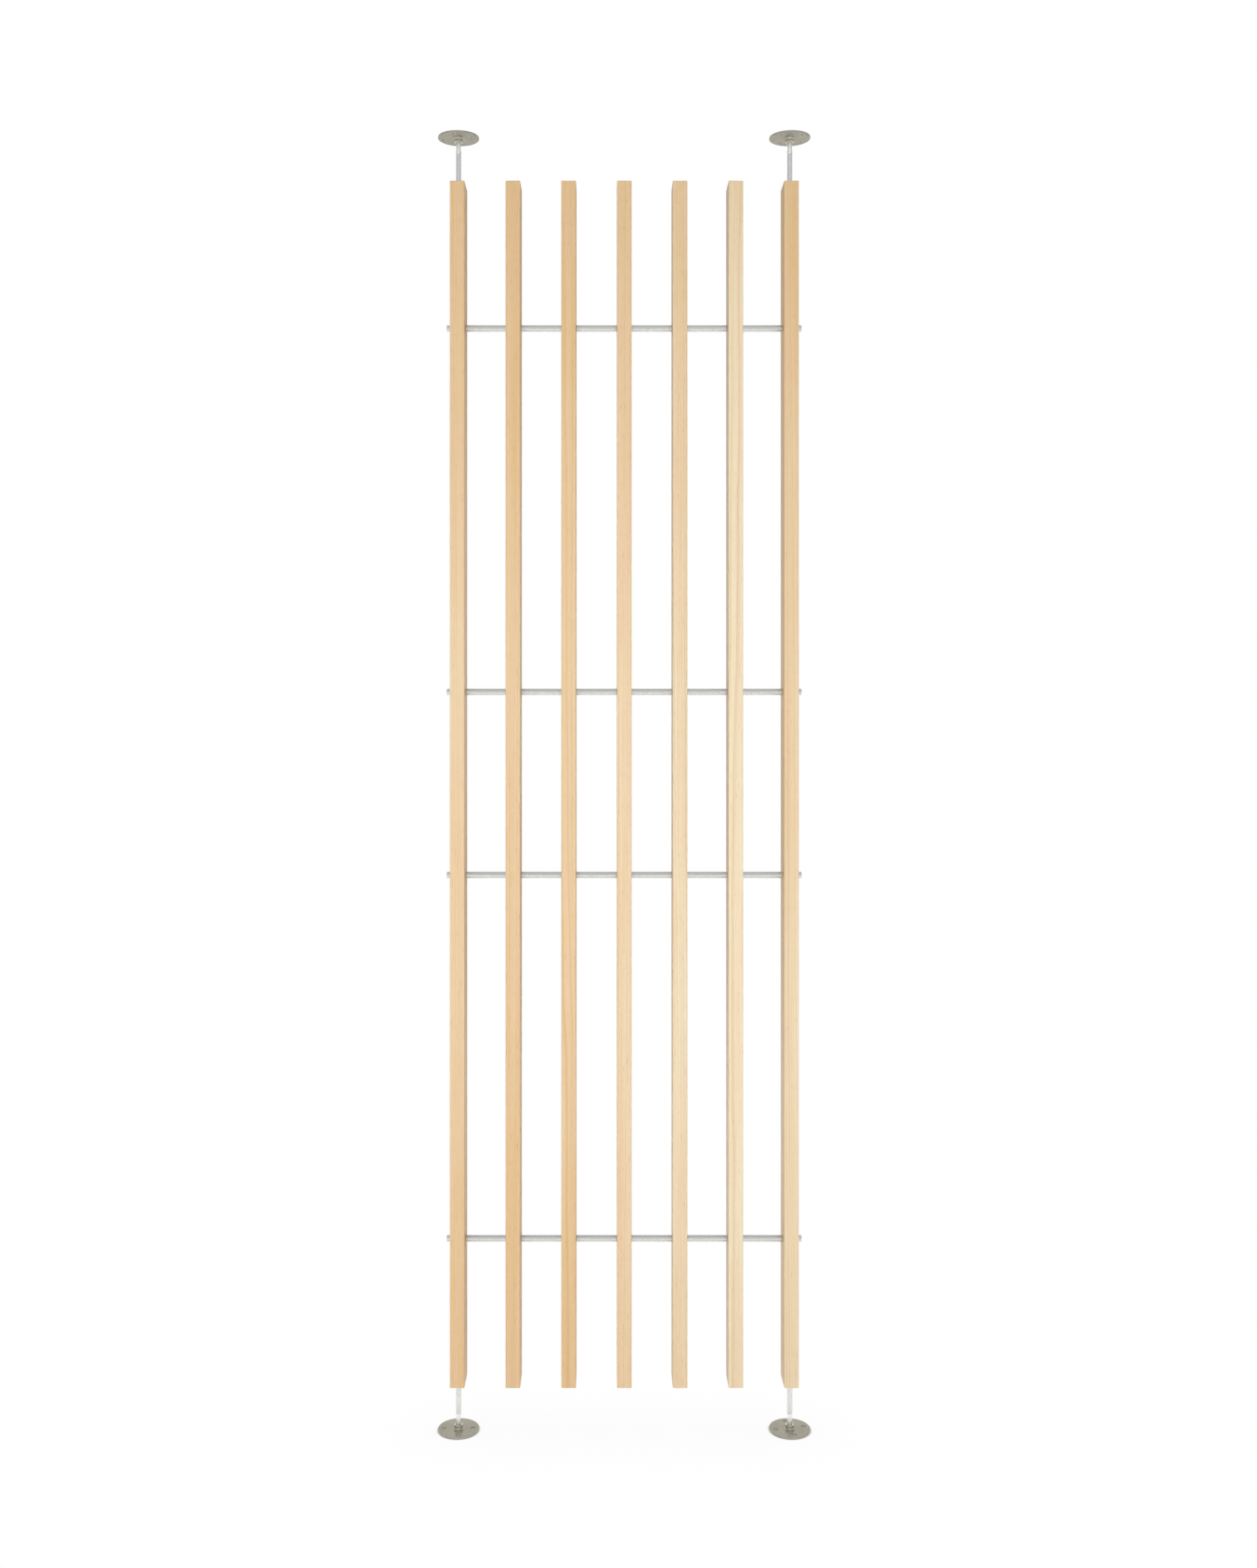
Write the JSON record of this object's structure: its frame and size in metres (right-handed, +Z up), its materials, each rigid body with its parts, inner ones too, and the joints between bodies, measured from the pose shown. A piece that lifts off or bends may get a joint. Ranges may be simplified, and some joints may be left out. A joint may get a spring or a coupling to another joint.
{
  "type": "slatted room divider",
  "caption": "Floor-to-ceiling room divider: upright wooden slats strung on level steel tie rods with spacer tubes, held between floor and ceiling by adjustable screw feet with round plates.",
  "frame": {"origin": "on the floor, midway between the two floor plates, at the slats' mid-depth", "axes": "+Z up along the slats, +X to the right along the tie rods, front face towards -Y"},
  "size_m": [0.691, 0.076, 2.4],
  "materials": {
    "wood": "clear satin oil",
    "stainless_steel": "ground and lightly polished",
    "satin_plate_steel": "turned satin",
    "zinc_plated_steel": "bright zinc"
  },
  "bodies": {
    "frame": {"slat_1": "wood", "slat_2": "wood", "slat_3": "wood", "slat_4": "wood", "slat_5": "wood", "slat_6": "wood", "slat_7": "wood", "tie_rod_1": "zinc_plated_steel", "tie_rod_2": "zinc_plated_steel", "tie_rod_3": "zinc_plated_steel", "tie_rod_4": "zinc_plated_steel", "row_1_spacer_1": "stainless_steel", "row_1_spacer_2": "stainless_steel", "row_1_spacer_3": "stainless_steel", "row_1_spacer_4": "stainless_steel", "row_1_spacer_5": "stainless_steel", "row_1_spacer_6": "stainless_steel", "row_2_spacer_1": "stainless_steel", "row_2_spacer_2": "stainless_steel", "row_2_spacer_3": "stainless_steel", "row_2_spacer_4": "stainless_steel", "row_2_spacer_5": "stainless_steel", "row_2_spacer_6": "stainless_steel", "row_3_spacer_1": "stainless_steel", "row_3_spacer_2": "stainless_steel", "row_3_spacer_3": "stainless_steel", "row_3_spacer_4": "stainless_steel", "row_3_spacer_5": "stainless_steel", "row_3_spacer_6": "stainless_steel", "row_4_spacer_1": "stainless_steel", "row_4_spacer_2": "stainless_steel", "row_4_spacer_3": "stainless_steel", "row_4_spacer_4": "stainless_steel", "row_4_spacer_5": "stainless_steel", "row_4_spacer_6": "stainless_steel", "row_1_cap_nut_left": "stainless_steel", "row_1_cap_nut_right": "stainless_steel", "row_2_cap_nut_left": "stainless_steel", "row_2_cap_nut_right": "stainless_steel", "row_3_cap_nut_left": "stainless_steel", "row_3_cap_nut_right": "stainless_steel", "row_4_cap_nut_left": "stainless_steel", "row_4_cap_nut_right": "stainless_steel", "insert_top_left": "zinc_plated_steel", "insert_top_right": "zinc_plated_steel", "insert_bottom_left": "zinc_plated_steel", "insert_bottom_right": "zinc_plated_steel"},
    "plate_top_left": {"plate_top_left": "satin_plate_steel"},
    "spindle_top_left": {"spindle_top_left": "stainless_steel", "plate_screw_top_left": "zinc_plated_steel"},
    "plate_top_right": {"plate_top_right": "satin_plate_steel"},
    "spindle_top_right": {"spindle_top_right": "stainless_steel", "plate_screw_top_right": "zinc_plated_steel"},
    "plate_bottom_left": {"plate_bottom_left": "satin_plate_steel"},
    "spindle_bottom_left": {"spindle_bottom_left": "stainless_steel", "plate_screw_bottom_left": "zinc_plated_steel"},
    "plate_bottom_right": {"plate_bottom_right": "satin_plate_steel"},
    "spindle_bottom_right": {"spindle_bottom_right": "stainless_steel", "plate_screw_bottom_right": "zinc_plated_steel"}
  },
  "joints": [
    {"name": "foot_travel_top_left", "type": "slide", "parent": "frame", "child": "plate_top_left", "axis": [0, 0, 1], "range_m": [-0.05, 0.04]},
    {"name": "spindle_turn_top_left", "type": "hinge", "parent": "plate_top_left", "child": "spindle_top_left", "pos_m": [-0.3075, 0, 2.4], "axis": [0, 0, 1], "range_deg": [-12000, 9600]},
    {"name": "foot_travel_top_right", "type": "slide", "parent": "frame", "child": "plate_top_right", "axis": [0, 0, 1], "range_m": [-0.05, 0.04]},
    {"name": "spindle_turn_top_right", "type": "hinge", "parent": "plate_top_right", "child": "spindle_top_right", "pos_m": [0.3075, 0, 2.4], "axis": [0, 0, 1], "range_deg": [-12000, 9600]},
    {"name": "foot_travel_bottom_left", "type": "slide", "parent": "frame", "child": "plate_bottom_left", "axis": [0, 0, -1], "range_m": [-0.05, 0.04]},
    {"name": "spindle_turn_bottom_left", "type": "hinge", "parent": "plate_bottom_left", "child": "spindle_bottom_left", "pos_m": [-0.3075, 0, 0], "axis": [0, 0, -1], "range_deg": [-12000, 9600]},
    {"name": "foot_travel_bottom_right", "type": "slide", "parent": "frame", "child": "plate_bottom_right", "axis": [0, 0, -1], "range_m": [-0.05, 0.04]},
    {"name": "spindle_turn_bottom_right", "type": "hinge", "parent": "plate_bottom_right", "child": "spindle_bottom_right", "pos_m": [0.3075, 0, 0], "axis": [0, 0, -1], "range_deg": [-12000, 9600]}
  ],
  "couplings": [
    {"joint": "spindle_turn_top_left", "follows": "foot_travel_top_left", "rad_per_m": 4188.8},
    {"joint": "spindle_turn_top_right", "follows": "foot_travel_top_right", "rad_per_m": 4188.8},
    {"joint": "spindle_turn_bottom_left", "follows": "foot_travel_bottom_left", "rad_per_m": 4188.8},
    {"joint": "spindle_turn_bottom_right", "follows": "foot_travel_bottom_right", "rad_per_m": 4188.8}
  ]
}
